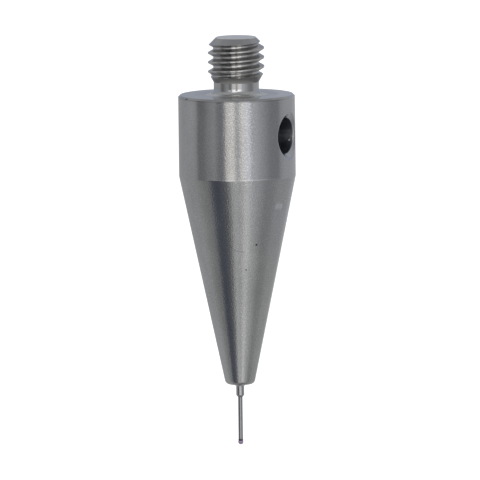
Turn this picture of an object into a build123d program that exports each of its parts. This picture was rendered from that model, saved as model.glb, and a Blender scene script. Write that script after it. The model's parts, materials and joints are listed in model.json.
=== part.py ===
from build123d import *
import os
from math import asin, cos, radians, sin, tan

os.makedirs("parts", exist_ok=True)

# A stylus for a coordinate measuring machine: a turned holder that screws into the probe head by
# its stud, a stepped hard-metal stem bonded into the holder's nose, and a ruby ball bonded to the
# stem. Millimetres, +Z up. The origin is the middle of the holder's seat, with the stud above it
# and the ball below it on the Z axis. The bar hole runs along X.

# Stud
THREAD_D = 5.0  # nominal size of the right-hand metric thread
CREST_ALLOWANCE = 0.16  # how far the cut crests stay under the nominal size
STUD_L = 4.92  # seat to the stud's end
STUD_CHAMFER = 0.72  # at 45 degrees, deeper than the thread
GROOVES = 3  # level grooves that stand for the thread between the run-out and the chamfer
PITCH = 0.8
CREST_W = 0.18  # width left between two grooves
GROOVE_DEPTH = 0.46
FLANK_ANGLE = 30.0  # each flank's slope from level, in degrees
NECK_D = 3.88  # thread undercut
NECK_L = 1.07  # seat to the start of the run-out
RUNOUT_ANGLE = 30.0  # the run-out's slope from the axis, in degrees
NECK_FILLET = 0.6

# Collar and taper
COLLAR_D = 10.0
COLLAR_L = 7.0
RIM_BEVEL = 0.15  # at 45 degrees
LAND_W = 1.4  # width of the ring that bears on the probe head, with the rim's bevel
DISH_DEPTH = 0.05  # how far the seat falls away from that ring to the neck
KNEE_ROUND = 0.6
TAPER_L = 18.0
NOSE_D = 2.45  # where the taper would end without its round
NOSE_ROUND = 0.45

# Bar hole, for the pin that tightens the stylus
BAR_HOLE_D = 3.0
BAR_HOLE_DROP = 3.42  # seat to the hole's axis
BAR_HOLE_SINK = 0.46  # depth of its 90 degree countersinks

# Stem
SHANK_D = 0.68
SHANK_GRIP = 6.0  # length held in the nose
SHANK_LEAD = 0.1  # chamfer on the held end
SHANK_OUT = 0.95  # full-diameter length below the nose
STEP_L = 0.17  # taper from the shank down to the thin part
THIN_D = 0.38
TIP_TAPER = 0.09  # length of the turned-down end above the ball
TIP_STEP = 0.04  # how far it is turned down, on the radius

# Ball
BALL_D = 0.45
REACH = 30.0  # seat to the ball's centre

# Stem's bore and the adhesive in it
BOND_GAP = 0.04  # adhesive between the shank and its bore
BORE_SPARE = 0.3  # bore past the shank's end
DRILL_POINT = 118.0  # the bore's drilled end, in degrees
SQUEEZE_W = 0.14  # adhesive that stands out of the nose: across its face
SQUEEZE_H = 0.15  # and down the shank
SQUEEZE_HOLLOW = 0.35  # how concave it is, from 0 for flat to 1 for square

# Adhesive around the ball
BEAD_WRAP = 18.0  # how far it reaches over the ball past the stem's cup, in degrees

# Radii and levels that follow
STUD_R = (THREAD_D - CREST_ALLOWANCE) / 2
NECK_R = NECK_D / 2
COLLAR_R = COLLAR_D / 2
SHANK_R = SHANK_D / 2
THIN_R = THIN_D / 2
CUP_R = THIN_R - TIP_STEP
BALL_R = BALL_D / 2
BORE_R = SHANK_R + BOND_GAP
NOSE_Z = -COLLAR_L - TAPER_L
GRIP_Z = NOSE_Z + SHANK_GRIP
CUP_ANGLE = asin(CUP_R / BALL_R)
CUP_Z = -REACH + BALL_R * cos(CUP_ANGLE)


def turned(outline, rounds=()):
    """Solid of revolution of a half outline of (radius, height) points, with some corners rounded."""
    face = make_face(Polyline(*outline, close=True))
    for point, radius in rounds:
        corner = face.vertices().sort_by_distance(Vector(*point))[0]
        face = fillet(corner, radius)
    return revolve(Plane.XZ * face, axis=Axis.Z)


def groove_points(top, bottom):
    """Outline of the grooves, from the upper one down, centred between two heights of the stud."""
    mouth = PITCH - CREST_W
    foot = mouth - 2 * GROOVE_DEPTH * tan(radians(FLANK_ANGLE))
    upper = (top + bottom) / 2 + PITCH * (GROOVES - 1) / 2
    points = []
    for middle in [upper - k * PITCH for k in range(GROOVES)]:
        points += [
            (STUD_R, middle + mouth / 2),
            (STUD_R - GROOVE_DEPTH, middle + foot / 2),
            (STUD_R - GROOVE_DEPTH, middle - foot / 2),
            (STUD_R, middle - mouth / 2),
        ]
    return points


def holder_blank():
    """Stud, undercut, collar and taper as one turning, with the stem's bore up its nose."""
    chamfer_foot = STUD_L - STUD_CHAMFER
    runout_top = NECK_L + (STUD_R - NECK_R) / tan(radians(RUNOUT_ANGLE))
    bore_end = GRIP_Z + BORE_SPARE
    bore_tip = bore_end + BORE_R / tan(radians(DRILL_POINT / 2))
    neck_foot = (NECK_R, -DISH_DEPTH)
    knee = (COLLAR_R, -COLLAR_L)
    nose = (NOSE_D / 2, NOSE_Z)
    outline = [
        (0, STUD_L),
        (STUD_R - STUD_CHAMFER, STUD_L),
        (STUD_R, chamfer_foot),
        *groove_points(chamfer_foot, runout_top),
        (STUD_R, runout_top),
        (NECK_R, NECK_L),
        neck_foot,
        (COLLAR_R - LAND_W, 0),
        (COLLAR_R - RIM_BEVEL, 0),
        (COLLAR_R, -RIM_BEVEL),
        knee,
        nose,
        (BORE_R, NOSE_Z),
        (BORE_R, bore_end),
        (0, bore_tip),
    ]
    rounds = [
        (neck_foot, NECK_FILLET),
        (knee, KNEE_ROUND),
        (nose, NOSE_ROUND),
    ]
    return turned(outline, rounds)


def bar_hole_cutter():
    """Half of the cross hole with its countersink, from the holder's axis out along +Z."""
    hole_r = BAR_HOLE_D / 2
    sink_z = COLLAR_R - BAR_HOLE_SINK
    past = 2 * BAR_HOLE_SINK
    outline = [
        (0, 0),
        (hole_r, 0),
        (hole_r, sink_z),
        (hole_r + past, sink_z + past),
        (0, sink_z + past),
    ]
    return turned(outline)


def holder():
    """The holder with its bar hole cut from both sides along X."""
    cutter = bar_hole_cutter()
    axis = Pos(0, 0, -BAR_HOLE_DROP)
    return holder_blank() - axis * Rot(0, 90, 0) * cutter - axis * Rot(0, -90, 0) * cutter


def ball():
    return Pos(0, 0, -REACH) * Sphere(BALL_R)


def stem():
    """The ground stem: held shank, step, thin part, and the cup at its end."""
    step_z = NOSE_Z - SHANK_OUT
    outline = [
        (0, GRIP_Z),
        (SHANK_R - SHANK_LEAD, GRIP_Z),
        (SHANK_R, GRIP_Z - SHANK_LEAD),
        (SHANK_R, step_z),
        (THIN_R, step_z - STEP_L),
        (THIN_R, CUP_Z + TIP_TAPER),
        (CUP_R, CUP_Z),
        (0, CUP_Z),
    ]
    return turned(outline) - ball()


def stem_bond():
    """Adhesive around the shank in its bore, with the hollow fillet squeezed out at the nose."""
    top = GRIP_Z - SHANK_LEAD
    foot = Vector(SHANK_R, NOSE_Z - SQUEEZE_H)
    edge = Vector(SHANK_R + SQUEEZE_W, NOSE_Z)
    root = Vector(SHANK_R, NOSE_Z)
    middle = (foot + edge) / 2
    hollow = ThreePointArc(edge, middle + (root - middle) * SQUEEZE_HOLLOW, foot)
    sleeve = Polyline(foot, (SHANK_R, top), (BORE_R, top), (BORE_R, NOSE_Z), edge)
    face = make_face(sleeve.edges() + hollow.edges())
    return revolve(Plane.XZ * face, axis=Axis.Z)


def ball_bond():
    """The ring of adhesive between the stem's turned-down end and the ball."""
    foot_angle = CUP_ANGLE + radians(BEAD_WRAP)
    outline = [
        (THIN_R, CUP_Z + TIP_TAPER),
        (BALL_R * sin(foot_angle), -REACH + BALL_R * cos(foot_angle)),
        (CUP_R, -REACH),
        (CUP_R, CUP_Z),
    ]
    return turned(outline) - ball()


export_step(holder(), "parts/holder.step")
export_step(stem(), "parts/stem.step")
export_step(ball(), "parts/ruby_ball.step")
export_step(stem_bond(), "parts/stem_bond.step")
export_step(ball_bond(), "parts/ball_bond.step")
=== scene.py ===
import json
from math import ceil, cos, pi, radians, sin, sqrt, tan

import bmesh
import bpy
from mathutils import Matrix, Vector


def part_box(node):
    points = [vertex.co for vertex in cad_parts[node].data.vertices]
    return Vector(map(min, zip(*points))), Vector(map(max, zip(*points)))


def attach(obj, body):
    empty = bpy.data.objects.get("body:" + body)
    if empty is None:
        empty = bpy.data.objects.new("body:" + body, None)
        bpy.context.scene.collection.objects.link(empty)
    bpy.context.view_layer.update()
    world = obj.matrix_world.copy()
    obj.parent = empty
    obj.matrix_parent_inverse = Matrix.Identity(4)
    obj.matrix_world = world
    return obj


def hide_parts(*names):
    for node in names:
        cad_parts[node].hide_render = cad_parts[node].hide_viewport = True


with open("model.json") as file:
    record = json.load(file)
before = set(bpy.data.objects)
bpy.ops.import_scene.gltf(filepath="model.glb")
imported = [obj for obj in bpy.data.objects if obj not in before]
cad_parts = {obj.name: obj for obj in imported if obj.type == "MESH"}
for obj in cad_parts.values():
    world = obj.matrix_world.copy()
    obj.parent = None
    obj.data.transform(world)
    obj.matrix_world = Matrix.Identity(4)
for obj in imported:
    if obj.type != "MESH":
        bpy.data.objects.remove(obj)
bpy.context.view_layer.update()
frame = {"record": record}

# The looks of a screw-in stylus: a turned steel holder with its cut thread, a ground stem, a ruby
# ball and the adhesive between them. Outlines are in millimetres and become metres at the very end.

MM = 0.001

# --- Sizes that the frame gives ---------------------------------------------------------------


def in_mm(length):
    """A length from the frame, in millimetres."""
    return round(length / MM, 4)


mounts = {m["name"]: m for m in frame["record"]["mounts"]}
holder_low, holder_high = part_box("holder")
ball_low, ball_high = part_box("ruby_ball")

STUD_R = mounts["stud"]["dims"]["r_mm"]
STUD_TOP = in_mm(holder_high.z)
COLLAR_R = in_mm(holder_high.x)
NOSE_Z = in_mm(holder_low.z)
HOLE_R = mounts["bar_hole"]["dims"]["r_mm"]
HOLE_Z = in_mm(mounts["bar_hole"]["pos_m"][2])
BALL_R = in_mm(ball_high.x - ball_low.x) / 2
BALL_Z = in_mm(ball_high.z + ball_low.z) / 2

# --- Sizes of the holder's turning ------------------------------------------------------------

PITCH = 0.8
CREST_PHASE = 2.317  # height of a crest over +X
CREST_FLAT = 0.065  # half the crest's width
CREST_ROUND = 0.025
ROOT_R = 1.96
ROOT_ROUND = 0.025
FADE_FROM, FADE_LENGTH = 1.05, 0.9  # the thread starts here and gets deeper over this length
FLANK = radians(30)  # each flank's slope
STUD_CHAMFER = 0.72
STUD_EDGE = 0.05
NECK_R = 1.94
NECK_TOP = 1.07
RUNOUT = radians(30)
NECK_FILLET = 0.6
LAND_R = 3.6
DISH_DEPTH = 0.05
LAND_ROUND = 0.3
RIM_BEVEL = 0.165
RIM_EDGE = 0.025  # how the bevel's two edges are broken
KNEE_Z = -7.0
KNEE_ROUND = 0.6
NOSE_R = 1.225
NOSE_ROUND = 0.45
HOLE_SINK = 0.43  # depth of the bar hole's 90 degree countersinks
HOLE_BREAK = 0.1  # how far the countersink's outer edge is worn round
MOUTH_R = HOLE_R + 0.045  # the bar hole is worn a little wider at its mouth
MOUTH_WEAR = 0.5  # how deep that wear reaches

# --- Sizes of the stem and its adhesive -------------------------------------------------------

SHANK_R = 0.34
SHANK_TOP = NOSE_Z + 6.0
SHANK_END = NOSE_Z - 0.95
SHANK_ROUND = 0.06  # at the held end
STEP_L = 0.17
STEP_ROUND = 0.05
THIN_R = 0.19
CUP_R = 0.15
CUP_ANGLE = radians(41.8)  # from the ball's top to the cup's edge
TIP_TAPER = 0.09
TIP_ROUND = 0.02
CUP_Z = BALL_Z + sqrt(BALL_R**2 - CUP_R**2)
BOND_R = SHANK_R + 0.04
BORE_TOP = SHANK_TOP + 0.3
BORE_POINT = 0.23
SQUEEZE_W = 0.26  # adhesive across the nose's face
SQUEEZE_H = 0.17  # and down the shank
SLEEVE_END = 0.1  # the sleeve stops this far below the shank's held end
SET_LEAN, SET_RIPPLE = 0.5, 0.2  # how much fuller it set on one side, and how wavy
SET_SHARE, SET_RANGE = 0.95, 0.1
BEAD_WRAP = radians(22)  # adhesive over the ball, past the cup's edge
BEAD_BULGE = 0.012
BEAD_IN_BALL = 0.1  # its hidden side, above the ball's middle
BEAD_IN_STEM = 0.02  # and above the cup's edge
TUCK = 0.01  # adhesive reaches this far under the steel, carbide or ruby beside it
LIFT = 0.005  # and this far up into the nose

# --- Mesh rows and columns --------------------------------------------------------------------

COLUMNS = 192  # around the holder
PATCH = 16  # columns from the middle of the bar hole to the edge of its square patch
ARC_STEP = radians(9)
HOLD = 0.02  # a row this close to each round keeps its shading to itself
LONGEST = 1.5  # straight runs are divided to this length
TURN_ROWS = 28  # rows of the thread's profile
CROWDING = 0.045  # how far those rows crowd to its crest and root
SPARE_TURNS = 3  # turns past each end of the thread, which are cut off level
WALL_GAP = 0.1  # the collar's wall starts this far below the rim's bevel
KNEE_GAP = KNEE_ROUND * 0.15  # and ends this far above the knee
BELOW_ROWS, ABOVE_ROWS = 5, 4  # rows of wall below and above the square patch
SINK_ROWS = 12  # rows of the countersink, across its worn edge
PATCH_ROWS, PATCH_GROWTH = 10, 1.4  # rows from there to the patch's edge, wider outwards
STEM_COLUMNS = 72
CUP_ROWS = 0.6, 0.4, 0.2  # angles from the ball's top
BALL_ROWS, BALL_COLUMNS = 48, 96
SWELL_ROWS, BEAD_ROWS = 12, 8
ON_AXIS = 1e-6  # a point closer to the axis than this is on it
SAME_PLACE = 2e-4  # corners closer than this become one
SHARP = radians(26)  # an edge that turns more than this isn't smoothed over

SATIN, TURNED, THREADED, DRILLED, FACED = range(5)  # the holder's material slots

# --- Directions, seen from the photograph's camera --------------------------------------------

VIEW_AZIMUTH = radians(25.8)
VIEW_ELEVATION = radians(6.5)
VIEW_ROLL = radians(0.72)
VIEW_DISTANCE = 1.0
VIEW_SENSOR = 36
VIEW_CLIP = 0.1, 60
VIEW_WIDTH = 41.13 * MM
VIEW_CENTRE = Vector((0.145, 0, -12.57))  # to the camera's right, away from it, up


def toward(bearing, height=0.0):
    """Unit vector at a bearing from the camera, positive to its right, and a height, in radians."""
    a = VIEW_AZIMUTH + bearing
    return Vector((sin(a) * cos(height), -cos(a) * cos(height), sin(height)))


# --- Outlines and surfaces of revolution ------------------------------------------------------


def arc(start, end, centre, turn):
    """Points from start to end around a centre, both ends included."""
    steps = max(2, ceil(turn / ARC_STEP))
    a, b = start - centre, end - centre
    for k in range(steps + 1):
        t = k / steps
        yield centre + (a * sin((1 - t) * turn) + b * sin(t * turn)) / sin(turn)


def divided(points):
    """The same outline with its long straight runs divided."""
    made = [points[0]]
    for p in points[1:]:
        start = made[-1]
        parts = max(1, ceil((p - start).length / LONGEST))
        made += [start.lerp(p, k / parts) for k in range(1, parts + 1)]
    return made


def outline(*corners):
    """Half outline through (radius, height[, round]) corners, each round an arc held by close rows."""
    points = []
    for i, corner in enumerate(corners):
        here = Vector(corner[:2])
        if len(corner) == 2:
            points.append(here)
            continue
        back = (Vector(corners[i - 1][:2]) - here).normalized()
        on = (Vector(corners[i + 1][:2]) - here).normalized()
        half = back.angle(on) / 2
        cut = corner[2] / tan(half)
        centre = here + (back + on).normalized() * corner[2] / sin(half)
        points.append(here + back * (cut + HOLD))
        points += arc(here + back * cut, here + on * cut, centre, pi - 2 * half)
        points.append(here + on * (cut + HOLD))
    return divided(points)


def bent(start, via, end, steps):
    """Points of a curve from start to end that is pulled toward a third point."""
    for k in range(steps + 1):
        t = k / steps
        yield start * (1 - t) ** 2 + via * 2 * t * (1 - t) + end * t * t


def face(bm, corners, material):
    """A face through the corners, or none where they fall together."""
    ring = [v for i, v in enumerate(corners) if v is not corners[i - 1]]
    if len(ring) > 2:
        bm.faces.new(ring).material_index = material


def revolve(bm, points, material, columns=COLUMNS, radius_at=None):
    """Turns an outline about Z. radius_at(angle, point) may reshape it as it goes round."""
    rings = []
    for p in points:
        if p.x < ON_AXIS:
            rings.append([bm.verts.new((0, 0, p.y))] * columns)
            continue
        ring = []
        for k in range(columns):
            a = 2 * pi * k / columns
            r = radius_at(a, p) if radius_at else p.x
            ring.append(bm.verts.new((r * cos(a), r * sin(a), p.y)))
        rings.append(ring)
    for low, high in zip(rings, rings[1:]):
        for k in range(columns):
            n = (k + 1) % columns
            face(bm, (low[k], low[n], high[n], high[k]), material)


def piece(bm, name, node, materials):
    """Closes the mesh, makes the object and lets it stand for its CAD node."""
    bmesh.ops.remove_doubles(bm, verts=bm.verts, dist=SAME_PLACE)
    bmesh.ops.recalc_face_normals(bm, faces=bm.faces)
    for f in bm.faces:
        f.smooth = True
    for e in bm.edges:
        e.smooth = len(e.link_faces) != 2 or e.calc_face_angle(0) < SHARP
    bmesh.ops.scale(bm, vec=(MM, MM, MM), verts=bm.verts)
    mesh = bpy.data.meshes.new(name)
    bm.to_mesh(mesh)
    bm.free()
    for material in materials:
        mesh.materials.append(material)
    obj = bpy.data.objects.new(name, mesh)
    bpy.context.scene.collection.objects.link(obj)
    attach(obj, "root")
    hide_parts(node)


# --- Thread -----------------------------------------------------------------------------------


def smooth_min(a, b, blend):
    """The smaller of two lengths, rounded over where they are closer than blend."""
    h = min(max(0.5 + 0.5 * (b - a) / blend, 0), 1)
    return b + (a - b) * h - blend * h * (1 - h)


def thread_radius(off):
    """Radius of the thread at a distance off its crest's middle, along the axis."""
    flank = STUD_R - (abs(off) - CREST_FLAT) / tan(FLANK)
    cut = smooth_min(STUD_R, flank, CREST_ROUND)
    return -smooth_min(-ROOT_R, -cut, ROOT_ROUND)


def stud_limit(z):
    """Radius of the plain stud that the thread is cut into, with its chamfer and run-out."""
    chamfer = STUD_R - STUD_CHAMFER + STUD_TOP - z
    runout = NECK_R + (z - NECK_TOP) * tan(RUNOUT)
    return min(STUD_R, chamfer, runout)


def profile_offsets():
    """Rows of one pitch, closer together at the crest and at the root."""
    evenly = [k / TURN_ROWS - 0.5 for k in range(TURN_ROWS)]
    return [PITCH * (t - CROWDING * sin(4 * pi * t) / pi) for t in evenly]


def thread_column(bm, k, rows, low, high):
    """The thread's corners at one angle, with all that is past an end of it in one corner."""
    a = 2 * pi * k / COLUMNS
    column, ends = [], {}
    for crest, off in rows:
        z = crest + off + PITCH * k / COLUMNS
        inside = min(max(z, low), high)
        if inside != z and inside in ends:
            column.append(ends[inside])
            continue
        r = stud_limit(inside)
        if inside == z:
            share = min(max((z - FADE_FROM) / FADE_LENGTH, 0), 1)
            r = min(r, STUD_R + (thread_radius(off) - STUD_R) * share)
        v = bm.verts.new((r * cos(a), r * sin(a), inside))
        if inside != z:
            ends[inside] = v
        column.append(v)
    return column


def thread(bm, low, high, material):
    """Rows that climb with the right-hand helix, cut off level at low and high."""
    offsets = profile_offsets()
    first = int((low - CREST_PHASE) / PITCH) - SPARE_TURNS
    last = int((high - CREST_PHASE) / PITCH) + SPARE_TURNS
    rows = [(CREST_PHASE + k * PITCH, off) for k in range(first, last) for off in offsets]
    columns = [thread_column(bm, k, rows, low, high) for k in range(COLUMNS)]
    for k in range(COLUMNS):
        here, on = columns[k], columns[(k + 1) % COLUMNS]
        lift = TURN_ROWS if k == COLUMNS - 1 else 0
        for j in range(len(rows) - 1 - lift):
            face(bm, (here[j], on[j + lift], on[j + 1 + lift], here[j + 1]), material)


# --- Collar wall with the bar hole -------------------------------------------------------------


def hole_surface(y, z):
    """Distance of the collar's outside from the YZ plane, with the countersink blended into it."""
    wall = sqrt(COLLAR_R**2 - y * y)
    sink = COLLAR_R - HOLE_SINK + Vector((y, z)).length - MOUTH_R
    return smooth_min(wall, sink, HOLE_BREAK)


def sink_edge(c):
    """Radius at which the countersink meets the collar, for the cosine of an angle from Y."""
    r = MOUTH_R
    for _ in range(25):
        r = MOUTH_R + sqrt(COLLAR_R**2 - (r * c) ** 2) - COLLAR_R + HOLE_SINK
    return r


def square_loop(step):
    """Points around the square patch as (y, z) from its middle, counter-clockwise."""
    ticks = range(-PATCH, PATCH)
    sides = [(PATCH, t) for t in ticks] + [(-t, PATCH) for t in ticks]
    sides += [(-PATCH, -t) for t in ticks] + [(t, -PATCH) for t in ticks]
    return [Vector((COLLAR_R * sin(u * step / COLLAR_R), w * step)) for u, w in sides]


def hole_patch(bm, side, step):
    """The square of wall around one mouth of the bar hole, and the bore to the middle."""
    mouth = outline(
        (MOUTH_R + HOLE_BREAK, COLLAR_R - HOLE_SINK + HOLE_BREAK),
        (MOUTH_R, COLLAR_R - HOLE_SINK, HOLE_BREAK / 2),
        (HOLE_R, COLLAR_R - HOLE_SINK - MOUTH_WEAR),
        (HOLE_R, 0),
    )
    rays = []
    for corner in square_loop(step):
        away = corner.normalized()
        edge, start = sink_edge(away.x), mouth[1].x
        rim = edge + HOLE_BREAK
        stops = [start + (rim - start) * k / SINK_ROWS for k in range(SINK_ROWS)]
        past = corner.length - rim
        stops += [rim + past * (k / PATCH_ROWS) ** PATCH_GROWTH for k in range(PATCH_ROWS + 1)]
        ray = [bm.verts.new((side * p.y, *(away * p.x + Vector((0, HOLE_Z))))) for p in mouth[:1:-1]]
        for r in stops:
            y, z = away * r
            ray.append(bm.verts.new((side * hole_surface(y, z), y, z + HOLE_Z)))
        rays.append(ray)
    bored = len(mouth) - 2
    for here, on in zip(rays, rays[1:] + rays[:1]):
        for j in range(len(here) - 1):
            material = DRILLED if j < bored else SATIN
            face(bm, (here[j], on[j], on[j + 1], here[j + 1]), material)


def collar_wall(bm, top, bottom):
    """The collar's cylinder, with a square left open for each mouth of the bar hole."""
    step = 2 * pi * COLLAR_R / COLUMNS
    rows = [HOLE_Z + k * step for k in range(-PATCH, PATCH + 1)]
    below = [bottom + (rows[0] - bottom) * k / BELOW_ROWS for k in range(BELOW_ROWS)]
    above = [rows[-1] + (top - rows[-1]) * k / ABOVE_ROWS for k in range(1, ABOVE_ROWS + 1)]
    levels = below + rows + above
    grid = []
    for z in levels:
        angles = [2 * pi * k / COLUMNS for k in range(COLUMNS)]
        grid.append([bm.verts.new((COLLAR_R * cos(a), COLLAR_R * sin(a), z)) for a in angles])
    half = COLUMNS // 2
    for j in range(len(levels) - 1):
        for k in range(COLUMNS):
            off = min((k + 0.5) % half, half - (k + 0.5) % half)
            if off < PATCH and len(below) <= j < len(below) + 2 * PATCH:
                continue
            n = (k + 1) % COLUMNS
            face(bm, (grid[j][k], grid[j][n], grid[j + 1][n], grid[j + 1][k]), SATIN)
    loose = [v for v in bm.verts if not v.link_faces]
    bmesh.ops.delete(bm, geom=loose, context="VERTS")
    for side in (1, -1):
        hole_patch(bm, side, step)


# --- Pieces -----------------------------------------------------------------------------------


def make_holder(finishes):
    """The whole holder as one closed mesh. Its finishes are in the order of their slots."""
    bm = bmesh.new()
    stud_edge = STUD_R - STUD_CHAMFER
    thread_top = STUD_TOP - STUD_EDGE
    wall_top = -RIM_BEVEL - WALL_GAP
    wall_bottom = KNEE_Z + KNEE_GAP
    end = outline((0, STUD_TOP), (stud_edge, STUD_TOP, STUD_EDGE), (stud_edge + STUD_EDGE, thread_top))
    seat = outline(
        (NECK_R, NECK_TOP),
        (NECK_R, -DISH_DEPTH, NECK_FILLET),
        (LAND_R, 0, LAND_ROUND),
        (COLLAR_R - RIM_BEVEL, 0, RIM_EDGE),
        (COLLAR_R, -RIM_BEVEL, RIM_EDGE),
        (COLLAR_R, wall_top),
    )
    taper = outline(
        (COLLAR_R, wall_bottom),
        (COLLAR_R, KNEE_Z, KNEE_ROUND),
        (NOSE_R, NOSE_Z, NOSE_ROUND),
        (BOND_R, NOSE_Z),
    )
    bore = outline((BOND_R, NOSE_Z), (BOND_R, BORE_TOP), (0, BORE_TOP + BORE_POINT))
    revolve(bm, end, FACED)
    thread(bm, NECK_TOP, thread_top, THREADED)
    revolve(bm, seat, TURNED)
    collar_wall(bm, wall_top, wall_bottom)
    revolve(bm, taper, SATIN)
    revolve(bm, bore, DRILLED)
    piece(bm, "threaded_holder", "holder", finishes)


def on_ball(angle):
    """The place of the ball's outline at an angle from its top."""
    return Vector((BALL_R * sin(angle), BALL_Z + BALL_R * cos(angle)))


def make_stem(carbide):
    """The ground stem: shank, step, thin part and turned-down tip, down to the cup."""
    bm = bmesh.new()
    points = outline(
        (0, SHANK_TOP),
        (SHANK_R, SHANK_TOP, SHANK_ROUND),
        (SHANK_R, SHANK_END, STEP_ROUND),
        (THIN_R, SHANK_END - STEP_L, STEP_ROUND),
        (THIN_R, CUP_Z + TIP_TAPER, TIP_ROUND),
        (CUP_R, CUP_Z),
    )
    cup = [on_ball(a) for a in CUP_ROWS]
    revolve(bm, points + cup + [Vector((0, BALL_Z + BALL_R))], 0, columns=STEM_COLUMNS)
    piece(bm, "ground_stem", "stem", (carbide,))


def make_ball(ruby):
    """The lapped ball, in rows of equal angle."""
    bm = bmesh.new()
    half = [on_ball(pi * k / BALL_ROWS) for k in range(BALL_ROWS + 1)]
    revolve(bm, half, 0, columns=BALL_COLUMNS)
    piece(bm, "lapped_ball", "ruby_ball", (ruby,))


def make_stem_bond(adhesive):
    """The adhesive that stands out of the nose, as it set, with its sleeve around the shank."""
    bm = bmesh.new()
    low, high = NOSE_Z + LIFT, SHANK_TOP - SLEEVE_END
    foot = Vector((SHANK_R - TUCK, NOSE_Z - SQUEEZE_H))
    edge = Vector((SHANK_R + SQUEEZE_W, low))
    middle = Vector((SHANK_R + 0.5 * SQUEEZE_W, NOSE_Z - 0.5 * SQUEEZE_H))
    swell = list(bent(foot, middle, edge, SWELL_ROWS))
    inner = Vector((SHANK_R - TUCK, high))
    outer = [Vector((BOND_R - TUCK, low)), Vector((BOND_R - TUCK, high))]

    def as_it_set(a, p):
        if p.y > NOSE_Z:
            return p.x
        lean, ripple = SET_LEAN * sin(a - VIEW_AZIMUTH), SET_RIPPLE * sin(3 * a + 1)
        return SHANK_R + (p.x - SHANK_R) * (SET_SHARE - SET_RANGE * (lean + ripple))

    points = [inner, foot, *swell[1:], *outer, inner]
    revolve(bm, points, 0, columns=STEM_COLUMNS, radius_at=as_it_set)
    piece(bm, "squeezed_adhesive", "stem_bond", (adhesive,))


def make_ball_bond(adhesive):
    """The dark ring of adhesive between the stem's tip and the ball."""
    bm = bmesh.new()
    top = Vector((THIN_R, CUP_Z + TIP_TAPER))
    foot = on_ball(CUP_ANGLE + BEAD_WRAP)
    bulge = (top + foot) / 2 + Vector((BEAD_BULGE, 0))
    inside_ball = Vector((CUP_R - TUCK, BALL_Z + BEAD_IN_BALL))
    inside_stem = Vector((CUP_R - TUCK, CUP_Z + BEAD_IN_STEM))
    points = [*bent(top, bulge, foot, BEAD_ROWS), inside_ball, inside_stem, top]
    revolve(bm, points, 0, columns=STEM_COLUMNS)
    piece(bm, "tip_adhesive", "ball_bond", (adhesive,))


# --- Material building blocks -----------------------------------------------------------------


def on_holder(bearing, z):
    """The place on the holder's outside at a bearing from the camera in degrees and a height."""
    slope = (COLLAR_R - NOSE_R) / (KNEE_Z - NOSE_Z)
    r = COLLAR_R - max(0, KNEE_Z - z) * slope
    return (toward(radians(bearing)) * r + Vector((0, 0, z))) * MM


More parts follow.
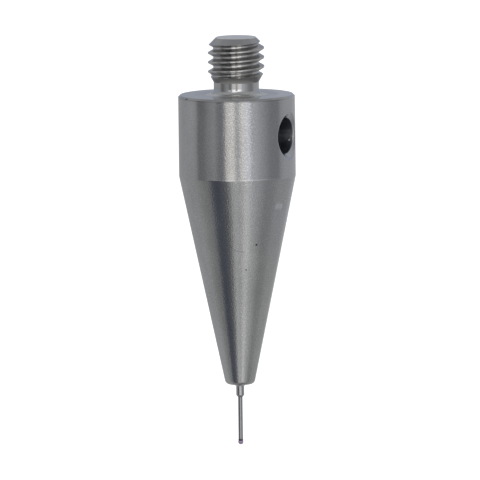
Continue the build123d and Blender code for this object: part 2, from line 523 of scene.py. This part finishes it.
class Nodes:
    """A material's node tree, with one short call for each kind of node."""

    def __init__(self, name):
        self.material = bpy.data.materials.new(name)
        self.material.use_nodes = True
        self.tree = self.material.node_tree
        self.shader = self.tree.nodes["Principled BSDF"]
        self.place = self.add("ShaderNodeTexCoord").outputs["Object"]

    def add(self, kind, inputs=None, **settings):
        made = self.tree.nodes.new(kind)
        for key, value in settings.items():
            setattr(made, key, value)
        for key, value in (inputs or {}).items():
            self.give(made.inputs[key], value)
        return made

    def give(self, socket, value):
        if isinstance(value, bpy.types.NodeSocket):
            self.tree.links.new(value, socket)
        else:
            socket.default_value = value

    def set(self, **values):
        for key, value in values.items():
            self.give(self.shader.inputs[key.replace("_", " ")], value)

    def noise(self, size, detail, stretch=(1, 1, 1)):
        """Noise with features of about this size in millimetres, longer where stretch is small."""
        scaled = self.add("ShaderNodeMapping", {"Vector": self.place, "Scale": stretch})
        inputs = {"Vector": scaled.outputs[0], "Scale": 1 / (size * MM), "Detail": detail}
        return self.add("ShaderNodeTexNoise", inputs).outputs["Fac"]

    def math(self, operation, a, b=0.0):
        return self.add("ShaderNodeMath", {0: a, 1: b}, operation=operation).outputs[0]

    def times(self, a, b):
        return self.math("MULTIPLY", a, b)

    def greatest(self, values):
        made, *others = values
        for value in others:
            made = self.math("MAXIMUM", made, value)
        return made

    def spread(self, value, low, high, to_low, to_high, smooth=False):
        """A value moved from one range to another, kept inside it."""
        inputs = {"Value": value, 1: low, 2: high, 3: to_low, 4: to_high}
        kind = "SMOOTHSTEP" if smooth else "LINEAR"
        return self.add("ShaderNodeMapRange", inputs, interpolation_type=kind).outputs[0]

    def within(self, length, low, high, to_low, to_high, smooth=False):
        """The same for a length in metres and a range in millimetres."""
        return self.spread(length, low * MM, high * MM, to_low, to_high, smooth)

    def mix(self, share, a, b):
        made = self.add("ShaderNodeMix", {"Factor": share}, data_type="RGBA")
        self.give(made.inputs["A"], a)
        self.give(made.inputs["B"], b)
        return made.outputs["Result"]

    def paint(self, colour, mask, strength, over):
        """A colour with another laid over it where the mask is, at a strength."""
        return self.mix(self.times(mask, strength), colour, over)

    def vector(self, operation, a, b=None):
        inputs = {0: a} if b is None else {0: a, 1: b}
        return self.add("ShaderNodeVectorMath", inputs, operation=operation)

    def dot(self, a, b):
        return self.vector("DOT_PRODUCT", a, b).outputs["Value"]

    def height(self):
        """Height in the object, in metres."""
        return self.add("ShaderNodeSeparateXYZ", {0: self.place}).outputs["Z"]

    def off_height(self, z):
        """Distance above or below a height in millimetres, in metres."""
        return self.math("ABSOLUTE", self.math("SUBTRACT", self.height(), z * MM))

    def from_axis(self):
        """Distance from the object's axis, in metres."""
        flat = self.vector("MULTIPLY", self.place, (1, 1, 0)).outputs[0]
        return self.vector("LENGTH", flat).outputs["Value"]

    def around(self, size, detail):
        """Noise that only changes along the axis and outwards, as a turning tool leaves it."""
        along = self.math("ADD", self.times(self.from_axis(), 1.37), self.height())
        inputs = {"W": along, "Scale": 1 / (size * MM), "Detail": detail}
        return self.add("ShaderNodeTexNoise", inputs, noise_dimensions="1D").outputs["Fac"]

    def spot(self, at, size):
        """1 at a place on the surface, fading to 0 at that size in millimetres."""
        off = self.vector("DISTANCE", self.place, at).outputs["Value"]
        return self.within(off, 0.35 * size, size, 1.0, 0.0, smooth=True)

    def line(self, start, end, width):
        """1 along a straight scratch, fading to 0 at that width in millimetres."""
        run = end - start
        off = self.vector("SUBTRACT", self.place, start).outputs[0]
        share = self.math("DIVIDE", self.dot(off, run), run.length_squared)
        inside = self.spread(share, 0.0, 1.0, 0.0, 1.0)
        inputs = {0: run, "Scale": inside}
        nearest = self.add("ShaderNodeVectorMath", inputs, operation="SCALE").outputs[0]
        away = self.vector("DISTANCE", off, nearest).outputs["Value"]
        return self.within(away, 0.3 * width, width, 1.0, 0.0, smooth=True)

    def spots(self, places):
        """1 at any of some places on the holder, each a bearing, a height and a size."""
        return self.greatest(self.spot(on_holder(bearing, z), size) for bearing, z, size in places)

    def scratch(self, bends, width):
        """1 along a bent scratch on the holder, through bearings and heights."""
        ends = [on_holder(*bend) for bend in bends]
        return self.greatest(self.line(a, b, width) for a, b in zip(ends, ends[1:]))

    def bump(self, height, depth, below=None):
        """Bump of a depth in thousandths of a millimetre."""
        inputs = {"Height": height, "Distance": depth * MM * MM, "Strength": 1.0}
        if below is not None:
            inputs["Normal"] = below
        return self.add("ShaderNodeBump", inputs).outputs[0]


# --- Materials --------------------------------------------------------------------------------

STEEL = (0.565, 0.565, 0.565, 1)
STEEL_DULL = (0.505, 0.505, 0.505, 1)
# painted reflection: a bluer steel for the right side of the collar and taper
STEEL_COOL_REFLECTION = (0.503, 0.511, 0.545, 1)
STEEL_DARK = (0.3, 0.3, 0.3, 1)
# painted light: a far paler copy of the turned steel for the stud's upward end face, as if lit
FACED_PAINTED_LIGHT, FACED_PAINTED_LIGHT_DULL = (0.92, 0.9, 0.86, 1), (0.86, 0.84, 0.8, 1)
PAINTED_GLINT = (0.8, 0.8, 0.79, 1)  # painted highlight: specks of paler steel where facets would catch the light
PALE = (0.8, 0.8, 0.8, 1)  # toward the nose
KNEE_PALE = (0.9, 0.9, 0.9, 1)  # along the knee
SCRATCHED = (0.16, 0.17, 0.2, 1)
BURR = (0.2, 0.2, 0.2, 1)
NICKED = (0.2, 0.2, 0.24, 1)
BLOTCHED = (0.84, 0.86, 0.9, 1)
SPECK = (0.03, 0.03, 0.03, 1)
LAND_PALE = (0.85, 0.85, 0.84, 1)
FOOT = (0.85, 0.85, 0.83, 1)  # the undercut's rougher foot

# painted highlight: paler steel for the thread's crests and roots
THREAD_PAINTED_HIGHLIGHT = (0.62, 0.61, 0.6, 1)
THREAD_FLANK = (0.42, 0.415, 0.41, 1)
THREAD_TORN = (0.34, 0.33, 0.32, 1)
RUNOUT_STEEL = (0.5, 0.495, 0.48, 1)
CHAMFER_STEEL = (0.44, 0.44, 0.45, 1)
RUNOUT_TOP = 1.8

# drilled steel, darker and bluer than the outside: a duller finish and partly painted shade in the
# bore
DRILLED_DARK, DRILLED_STEEL = (0.22, 0.24, 0.28, 1), (0.32, 0.34, 0.39, 1)
DRILLED_PAINTED_LIGHT = (0.85, 0.85, 0.89, 1)
DRILLED_WARM_SPOT = (1.0, 0.96, 0.86, 1)

CARBIDE_DARK, CARBIDE = (0.52, 0.52, 0.54, 1), (0.6, 0.6, 0.62, 1)
CARBIDE_THIN = (0.36, 0.36, 0.38, 1)
RUBY_DARK, RUBY = (0.24, 0.18, 0.31, 1), (0.3, 0.23, 0.37, 1)
NOSE_ADHESIVE = (0.3, 0.3, 0.31, 1), (0.42, 0.42, 0.43, 1)
DARK_ADHESIVE = (0.02, 0.02, 0.03, 1), (0.05, 0.05, 0.06, 1)

# Marks and paler patches: bearing from the camera in degrees, height, and the size of a spot
PITS = ((23.8, -12.61, 0.13), (10.8, -14.77, 0.09))
HOLE_NICK = ((86, -1.72, 0.24),)
PALE_BLOTCH = ((48.6, -9.38, 0.4), (54.4, -9.42, 0.4))
BENT_SCRATCH = ((-11.9, -12.61), (-1.3, -13.17), (8.4, -13.18))
RIM_BURR = ((-20, -0.36), (-14, -0.2))
RIM_NICK = ((-60.5, -0.1), (-58, -0.08))
KNEE_PALE_SPOT = ((10, KNEE_Z, 4.0),)
BORE_BURR = Vector((4.2, 1.43, -3.935))
BORE_WARM_SPOT = Vector((4.2, 1.49, -3.55))
LAND_PALE_PLACE = toward(radians(95)) * 4.4


def painted_cool_reflection(n, height):
    """1 on the right of the collar and of the upper taper, where a painted cool reflection makes the
    steel faintly bluer.
    """
    sideways = n.dot(n.place, toward(radians(60)))
    return n.times(n.within(sideways, 2.8, 3.8, 0, 0.7), n.within(height, -14.5, -12, 0, 1))


def painted_glints(n, ground, on_taper):
    """Share of painted glint specks, highlight laid into the colour: most in front, fewer on the taper
    and fewest elsewhere.
    """
    facing = n.dot(n.place, toward(radians(1.5)))
    in_front = n.within(facing, 0.955 * COLLAR_R, 0.975 * COLLAR_R, 0.14, 0.46)
    most = n.greatest((in_front, n.times(on_taper, 0.26)))
    return n.times(n.spread(ground, 0.52, 0.68, 0, 1), most)


def handling_marks(n, colour):
    """The holder's colour with its scratch, burr, nick, pale blotch and pits."""
    colour = n.paint(colour, n.scratch(BENT_SCRATCH, 0.045), 0.4, SCRATCHED)
    colour = n.paint(colour, n.scratch(RIM_BURR, 0.05), 0.5, BURR)
    colour = n.paint(colour, n.spots(HOLE_NICK), 0.75, NICKED)
    colour = n.paint(colour, n.spots(PALE_BLOTCH), 0.45, BLOTCHED)
    return n.mix(n.spots(PITS), colour, SPECK)


def satin_steel():
    """Fine-ground steel of the collar and taper, paler toward the nose and along the knee in front,
    with painted glint specks and a painted cool reflection on the right.
    """
    n = Nodes("satin_steel")
    grain = n.noise(0.11, 1.0)
    ground = n.noise(0.1, 0.0)
    cloud = n.noise(1.8, 3.0, (1, 1, 0.6))
    height = n.height()
    on_taper = n.within(height, KNEE_Z - 0.3, KNEE_Z - 0.1, 1, 0)
    colour = n.mix(n.spread(cloud, 0.35, 0.65, 0, 1), STEEL_DULL, STEEL)
    # painted reflection: the right side tinted bluer
    colour = n.mix(painted_cool_reflection(n, height), colour, STEEL_COOL_REFLECTION)
    colour = n.mix(n.spread(grain, 0.35, 0.6, 0.2, 0.0), colour, STEEL_DARK)
    # painted highlight: paler glint specks, most toward the front lights
    colour = n.mix(painted_glints(n, ground, on_taper), colour, PAINTED_GLINT)
    colour = handling_marks(n, colour)
    colour = n.mix(n.within(height, -22.0, -17.0, 0.15, 0.0), colour, PALE)
    knee = n.within(n.off_height(KNEE_Z + 0.08), 0.02, 0.07, 0.35, 0.0)
    colour = n.paint(colour, knee, n.spots(KNEE_PALE_SPOT), KNEE_PALE)
    relief = n.bump(n.around(0.3, 3.0), 0.4)
    relief = n.bump(ground, 4.0, relief)
    relief = n.bump(n.times(n.math("SUBTRACT", grain, 0.5), on_taper), 10.0, relief)
    rough = n.spread(cloud, 0.3, 0.7, 0.14, 0.18)
    n.set(Base_Color=colour, Metallic=1.0, Normal=relief)
    n.set(Roughness=n.math("SUBTRACT", rough, n.times(on_taper, 0.05)))
    return n.material


def seat_shades(n, colour, away):
    """A turned colour with the seat darker, its dish darker still, and painted shade on the rim's
    bevel.
    """
    rim = COLLAR_R - RIM_BEVEL
    seat = n.times(n.within(away, 2.6, 2.8, 0, 0.43), n.within(away, rim - 0.03, rim, 1, 0))
    in_dish = n.within(away, LAND_R - 0.1, LAND_R + 0.1, 0.62, 0.0)
    dish = n.times(in_dish, n.within(away, 2.6, 2.8, 0, 1))
    # painted shade: the rim's bevel darkened in the colour
    bevel = n.within(away, rim, rim + 0.03, 0, 0.5)
    for share in (seat, dish, bevel):
        colour = n.mix(share, colour, STEEL_DARK)
    return colour


def turned_steel(name, bright, dull, rough):
    """Turned steel with the tool's fine rings, the seat darker with painted shade on the rim's bevel,
    a rim nick and a paler patch on the land.
    """
    n = Nodes(name)
    rings = n.around(0.06, 4.0)
    cloud = n.noise(1.1, 3.0)
    away = n.from_axis()
    colour = n.mix(n.spread(cloud, 0.35, 0.65, 0, 1), dull, bright)
    colour = n.mix(n.spread(rings, 0.3, 0.7, 0.12, 0.0), colour, STEEL_DARK)
    colour = seat_shades(n, colour, away)
    colour = n.paint(colour, n.scratch(RIM_NICK, 0.14), 0.85, SPECK)
    on_land = n.within(away, LAND_R - 0.1, LAND_R + 0.2, 0, 0.4)
    colour = n.paint(colour, n.spot(LAND_PALE_PLACE * MM, 4.0), on_land, LAND_PALE)
    foot = n.times(n.within(away, 2.1, 2.25, 0, 1), n.within(away, 2.6, 2.9, 1, 0))
    colour = n.paint(colour, foot, 0.6, FOOT)
    rough = n.spread(cloud, 0.3, 0.7, rough, rough + 0.05)
    n.set(Base_Color=colour, Metallic=1.0, Normal=n.bump(rings, 0.5))
    n.set(Roughness=n.math("ADD", rough, n.times(foot, 0.25)))
    return n.material


def cut_steel():
    """Single-point cut steel of the thread: crests and roots painted brighter than the darker flanks
    as painted highlight, and torn flanks.
    """
    n = Nodes("cut_steel")
    tears = n.noise(0.07, 3.0, (1, 1, 2))
    away, height = n.from_axis(), n.height()
    above_root = n.within(away, ROOT_R + 0.02, ROOT_R + 0.08, 0, 1)
    below_crest = n.within(away, STUD_R - 0.07, STUD_R - 0.02, 1, 0)
    foot = STUD_TOP - STUD_CHAMFER
    # painted highlight: crests and roots paler than the flanks
    colour = n.mix(n.times(above_root, below_crest), THREAD_PAINTED_HIGHLIGHT, THREAD_FLANK)
    runout = n.within(height, RUNOUT_TOP - 0.05, RUNOUT_TOP + 0.05, 1, 0)
    colour = n.mix(runout, colour, RUNOUT_STEEL)
    colour = n.mix(n.within(height, foot - 0.03, foot + 0.03, 0, 1), colour, CHAMFER_STEEL)
    colour = n.mix(n.spread(tears, 0.35, 0.6, 0.3, 0.0), colour, THREAD_TORN)
    n.set(Base_Color=colour, Metallic=1.0, Normal=n.bump(tears, 1.0))
    n.set(Roughness=n.spread(tears, 0.3, 0.7, 0.16, 0.1))
    return n.material


def drilled_steel():
    """Dull drilled steel inside the bar hole and the stem's bore, dark and bluish, partly painted
    shade; painted light halfway up the bar hole, a warm paler spot and one burr.
    """
    n = Nodes("drilled_steel")
    along = n.noise(0.12, 3.0, (0.25, 1, 1))
    # painted light: the bar hole's wall paler halfway up, where light would come in
    middle = n.within(n.off_height(HOLE_Z), 0.1, 0.95, 1, 0, smooth=True)
    colour = n.mix(n.spread(along, 0.3, 0.7, 0, 1), DRILLED_DARK, DRILLED_STEEL)
    colour = n.paint(colour, middle, 0.5, DRILLED_PAINTED_LIGHT)
    colour = n.paint(colour, n.spot(BORE_WARM_SPOT * MM, 0.6), 0.3, DRILLED_WARM_SPOT)
    relief = n.bump(n.spot(BORE_BURR * MM, 0.12), 40.0, n.bump(along, 3.0))
    n.set(Base_Color=colour, Metallic=1.0, Normal=relief)
    n.set(Roughness=n.spread(along, 0.3, 0.7, 0.42, 0.3))
    return n.material


def ground_carbide():
    """Dark ground carbide of the stem, darker where it is thin, with the wheel's fine rings."""
    n = Nodes("ground_carbide")
    rings = n.around(0.035, 3.0)
    cloud = n.noise(0.4, 2.0)
    colour = n.mix(n.spread(cloud, 0.3, 0.7, 0, 1), CARBIDE_DARK, CARBIDE)
    thin = n.within(n.height(), SHANK_END - STEP_L, SHANK_END, 0.75, 0.0)
    colour = n.mix(thin, colour, CARBIDE_THIN)
    n.set(Base_Color=colour, Metallic=1.0, Normal=n.bump(rings, 0.12), Specular_Tint=CARBIDE)
    n.set(Roughness=n.spread(rings, 0.3, 0.7, 0.08, 0.13))
    return n.material


def polished_ruby():
    """Clear ruby with a faint cloud in its colour."""
    n = Nodes("polished_ruby")
    cloud = n.noise(0.12, 2.0)
    colour = n.mix(n.spread(cloud, 0.3, 0.7, 0, 1), RUBY_DARK, RUBY)
    n.set(Base_Color=colour, Roughness=0.03, IOR=1.76, Transmission_Weight=0.85)
    return n.material


def set_adhesive(name, dark, pale):
    """Cured adhesive: slightly glossy and uneven."""
    n = Nodes(name)
    cloud = n.noise(0.2, 3.0)
    colour = n.mix(n.spread(cloud, 0.3, 0.7, 0, 1), dark, pale)
    n.set(Base_Color=colour, Normal=n.bump(cloud, 12.0))
    n.set(Roughness=n.spread(cloud, 0.3, 0.7, 0.25, 0.45))
    return n.material


# --- Studio -----------------------------------------------------------------------------------

TENT_R = 0.3  # distance of the cards from the middle of the object
TENT_MIDDLE = Vector((0, 0, VIEW_CENTRE.z * MM))
CARD_CELL = 5  # degrees across one face of a card
FLOOR_DROP = 0.34
FLOOR_HALF = 20.0
FLOOR_GREY = (0.85, 0.85, 0.85, 1)
FLOOR_WHITE = 0.45  # how much plain white is added where the floor is seen
WORLD_GREY = (0.8, 0.8, 0.8, 1)
NEUTRAL, PLAIN = (0.987, 1.0, 1.025), (0.985, 1.0, 1.005)
WARM, CREAM, CLEAR = (1.0, 1.0, 0.995), (1.025, 1.0, 0.96), (0.985, 1.0, 1.06)
COOL, DEEP = (0.95, 0.98, 1.07), (0.915, 0.985, 1.19)
PALE_BLUE, SKY = (0.985, 1.0, 1.035), (0.935, 1.0, 1.16)
TOP = 29  # height of the front boxes' upper edge, in degrees

# Name, left and right bearing, low and high edge, level at the left and right edge, colour
CARDS = (
    ("front_box_left", -23.5, -4.5, -10, 0, 0.7, 0.88, CREAM),
    ("front_box_right", 5.5, 14, -10, 0, 0.75, 0.88, CREAM),
    ("front_box_end", 14, 26, -10, 0, 0.88, 0.93, CLEAR),
    ("hot_box_left", -23.5, -4.5, 0, TOP, 1.3, 1.9, WARM),
    ("hot_box_middle", -4.5, 5.5, 18, TOP, 1.5, 1.5, WARM),
    ("hot_box_right", 5.5, 26, 0, TOP, 2.0, 1.3, WARM),
    ("front_lip_left", -23.5, -4.5, -13, -10, 1.1, 1.3, WARM),
    ("front_lip_right", 5.5, 26, -13, -10, 1.2, 1.3, WARM),
    ("lens_flag", -4.5, 5.5, -13, 18, 0.5, 0.5, NEUTRAL),
    ("dim_left", -34, -23.5, -8, 6, 0.25, 0.28, COOL),
    ("near_left", -43, -34, -8, 6, 0.35, 0.25, NEUTRAL),
    ("small_box", -43, -28, 6, TOP, 0.8, 0.7, NEUTRAL),
    ("small_box_edge", -28, -23.5, 6, TOP, 0.3, 0.3, NEUTRAL),
    ("side_left", -66, -43, -8, TOP, 0.265, 0.43, NEUTRAL),
    ("gap_left", -85, -66, -13, TOP, 0.21, 0.225, NEUTRAL),
    ("edge_left", -98, -85, -13, TOP, 0.43, 0.37, NEUTRAL),
    ("back_left", -180, -98, -13, 1, 0.37, 0.425, PALE_BLUE),
    ("high_back_left", -180, -98, 1, TOP, 0.4, 0.45, SKY),
    ("near_right", 26, 41, -13, TOP, 0.62, 0.57, NEUTRAL),
    ("side_right", 41, 68, -13, TOP, 0.52, 0.285, NEUTRAL),
    ("gap_right", 68, 92, -13, TOP, 0.28, 0.27, NEUTRAL),
    ("edge_right", 92, 106, -13, TOP, 0.38, 0.46, NEUTRAL),
    ("back_right", 106, 180, -13, 1, 0.47, 0.49, NEUTRAL),
    ("high_back_right", 106, 180, 1, TOP, 0.47, 0.4, SKY),
    ("low_back_left", -180, -100, -60, -13, 0.41, 0.41, PALE_BLUE),
    ("low_edge_left", -100, -66, -60, -13, 0.41, 0.245, PLAIN),
    ("low_side_left", -66, -60.3, -60, -8, 0.26, 0.28, PLAIN),
    ("low_dark_left", -60.3, -45, -60, -8, 0.15, 0.096, DEEP),
    ("low_dark", -45, -28, -60, -8, 0.096, 0.145, DEEP),
    ("low_front_edge", -28, -23.5, -60, -8, 0.14, 0.19, PLAIN),
    ("low_front_left", -23.5, -18, -60, -13, 0.19, 0.28, PLAIN),
    ("low_front_rise", -18, -9, -60, -13, 0.28, 0.58, PLAIN),
    ("low_front", -9, 8, -60, -13, 0.58, 0.49, PLAIN),
    ("low_front_right", 8, 21, -60, -13, 0.55, 0.79, WARM),
    ("low_near_right", 21, 34, -60, -13, 0.76, 0.55, PLAIN),
    ("low_side_right", 34, 62, -60, -13, 0.55, 0.33, PLAIN),
    ("low_gap_right", 62, 90, -60, -13, 0.305, 0.33, PLAIN),
    ("low_back_right", 90, 180, -60, -13, 0.38, 0.45, PLAIN),
    ("ceiling_edge_left", -90, -30, TOP, 46, 0.45, 0.45, NEUTRAL),
    ("hot_top_left", -30, -8, TOP, 46, 0.8, 1.2, WARM),
    ("hot_top", -8, 6, TOP, 40, 1.2, 1.2, WARM),
    ("hot_top_end", -8, 6, 40, 46, 0.6, 0.5, WARM),
    ("ceiling_edge_right", 6, 90, TOP, 46, 0.45, 0.45, NEUTRAL),
    ("ceiling_front", -90, 90, 46, 68, 0.48, 0.48, NEUTRAL),
    ("ceiling_top", -90, 90, 68, 90, 0.4, 0.4, NEUTRAL),
    ("ceiling_back_edge", 90, 270, TOP, 52, 0.5, 0.5, PALE_BLUE),
    ("ceiling_back", 90, 270, 52, 90, 0.43, 0.43, PALE_BLUE),
    ("table", -180, 180, -90, -60, 0.25, 0.25, WARM),
)


def card_paper():
    """Cards that shine at the level painted on them. Lamps, shadows and the camera pass them."""
    material = bpy.data.materials.new("card_paper")
    material.use_nodes = True
    tree = material.node_tree
    tree.nodes.clear()
    level = tree.nodes.new("ShaderNodeAttribute")
    level.attribute_name = "level"
    glow = tree.nodes.new("ShaderNodeEmission")
    out = tree.nodes.new("ShaderNodeOutputMaterial")
    tree.links.new(level.outputs["Color"], glow.inputs["Color"])
    tree.links.new(glow.outputs[0], out.inputs["Surface"])
    material.cycles.emission_sampling = "NONE"
    return material


def make_card(name, left, right, low, high, level_left, level_right, tint, paper):
    """A card bent round the object, seen only in reflections."""
    bm = bmesh.new()
    layer = bm.verts.layers.float_color.new("level")
    across = max(2, ceil((right - left) / CARD_CELL))
    up = max(2, ceil((high - low) / CARD_CELL))
    grid = []
    for j in range(up + 1):
        row = []
        for k in range(across + 1):
            bearing = radians(left + (right - left) * k / across)
            height = radians(low + (high - low) * j / up)
            v = bm.verts.new(toward(bearing, height) * TENT_R)
            level = level_left + (level_right - level_left) * k / across
            v[layer] = (*(level * t for t in tint), 1)
            row.append(v)
        grid.append(row)
    for a, b in zip(grid, grid[1:]):
        for k in range(across):
            bm.faces.new((a[k], a[k + 1], b[k + 1], b[k]))
    mesh = bpy.data.meshes.new(name)
    bm.to_mesh(mesh)
    bm.free()
    mesh.materials.append(paper)
    card = bpy.data.objects.new(name, mesh)
    card.location = TENT_MIDDLE
    bpy.context.scene.collection.objects.link(card)
    card.visible_camera = card.visible_diffuse = card.visible_shadow = False
    card.visible_transmission = False


def white_where_seen(tree, shade, white_strength):
    """Mixes a shade with plain white for camera, glossy and transmission rays."""
    path = tree.nodes.new("ShaderNodeLightPath")
    seen = path.outputs["Is Camera Ray"]
    for name in ("Is Glossy Ray", "Is Transmission Ray"):
        either = tree.nodes.new("ShaderNodeMath")
        either.operation = "MAXIMUM"
        tree.links.new(seen, either.inputs[0])
        tree.links.new(path.outputs[name], either.inputs[1])
        seen = either.outputs[0]
    white = tree.nodes.new("ShaderNodeEmission")
    white.inputs["Strength"].default_value = white_strength
    mixed = tree.nodes.new("ShaderNodeMixShader")
    tree.links.new(seen, mixed.inputs[0])
    tree.links.new(shade, mixed.inputs[1])
    return white, mixed


def make_floor():
    """A plain pale floor well below the ball, as the stylus hangs by its stud."""
    material = bpy.data.materials.new("floor_paper")
    material.use_nodes = True
    tree = material.node_tree
    shade = tree.nodes["Principled BSDF"]
    shade.inputs["Base Color"].default_value = FLOOR_GREY
    shade.inputs["Roughness"].default_value = 0.8
    white, mixed = white_where_seen(tree, shade.outputs[0], FLOOR_WHITE)
    both = tree.nodes.new("ShaderNodeAddShader")
    tree.links.new(shade.outputs[0], both.inputs[0])
    tree.links.new(white.outputs[0], both.inputs[1])
    tree.links.new(both.outputs[0], mixed.inputs[2])
    tree.links.new(mixed.outputs[0], tree.nodes["Material Output"].inputs["Surface"])
    mesh = bpy.data.meshes.new("floor")
    corners = [(x * FLOOR_HALF, y * FLOOR_HALF, 0) for x, y in ((-1, -1), (1, -1), (1, 1), (-1, 1))]
    mesh.from_pydata(corners, [], [(0, 1, 2, 3)])
    mesh.materials.append(material)
    floor = bpy.data.objects.new("floor", mesh)
    floor.location = (0, 0, TENT_MIDDLE.z - FLOOR_DROP)
    bpy.context.scene.collection.objects.link(floor)


def make_world():
    """Soft even light, and plain white where it is seen or reflected."""
    world = bpy.data.worlds.new("studio")
    bpy.context.scene.world = world
    world.use_nodes = True
    tree = world.node_tree
    even = tree.nodes["Background"]
    even.inputs["Color"].default_value = WORLD_GREY
    white, mixed = white_where_seen(tree, even.outputs[0], 1.0)
    tree.links.new(white.outputs[0], mixed.inputs[2])
    tree.links.new(mixed.outputs[0], tree.nodes["World Output"].inputs["Surface"])


def make_lamp(name, bearing, height, distance, size, watts):
    """A soft square lamp aimed at the object. It lights, and the cards are what is reflected."""
    lamp = bpy.data.lights.new(name, "AREA")
    lamp.size = size
    lamp.energy = watts
    obj = bpy.data.objects.new(name, lamp)
    away = toward(radians(bearing), radians(height))
    obj.location = TENT_MIDDLE + away * distance
    obj.rotation_mode = "QUATERNION"
    obj.rotation_quaternion = away.to_track_quat("Z", "Y")
    obj.visible_glossy = obj.visible_camera = obj.visible_transmission = False
    bpy.context.scene.collection.objects.link(obj)


def make_camera():
    """The photograph's long lens, a little above the object and turned to its bar hole."""
    back = toward(0, VIEW_ELEVATION)
    right = Vector((cos(VIEW_AZIMUTH), sin(VIEW_AZIMUTH), 0))
    up = back.cross(right)
    lens = bpy.data.cameras.new("photo_camera")
    lens.sensor_width = VIEW_SENSOR
    lens.lens = lens.sensor_width * VIEW_DISTANCE / VIEW_WIDTH
    lens.clip_start, lens.clip_end = VIEW_CLIP
    camera = bpy.data.objects.new("photo_camera", lens)
    turn = Matrix((right, up, back)).transposed() @ Matrix.Rotation(-VIEW_ROLL, 3, "Z")
    aim = (right * VIEW_CENTRE.x + Vector((0, 0, VIEW_CENTRE.z))) * MM
    camera.rotation_mode = "QUATERNION"
    camera.rotation_quaternion = turn.to_quaternion()
    camera.location = aim + back * VIEW_DISTANCE
    bpy.context.scene.collection.objects.link(camera)
    bpy.context.scene.camera = camera


# --- Everything together ----------------------------------------------------------------------

make_camera()
finishes = {
    SATIN: satin_steel(),
    TURNED: turned_steel("turned_steel", STEEL, STEEL_DULL, 0.1),
    THREADED: cut_steel(),
    DRILLED: drilled_steel(),
    # painted light: the end face gets the paler copy of the turned steel
    FACED: turned_steel("faced_steel_painted_light", FACED_PAINTED_LIGHT, FACED_PAINTED_LIGHT_DULL, 0.14),
}
make_holder([finishes[slot] for slot in sorted(finishes)])
make_stem(ground_carbide())
make_ball(polished_ruby())
make_stem_bond(set_adhesive("nose_adhesive", *NOSE_ADHESIVE))
make_ball_bond(set_adhesive("dark_adhesive", *DARK_ADHESIVE))

make_world()
make_floor()
paper = card_paper()
for card in CARDS:
    make_card(*card, paper)
make_lamp("overhead_lamp", bearing=-20, height=60, distance=0.6, size=0.3, watts=0.9)
bpy.context.scene.view_settings.view_transform = "Standard"
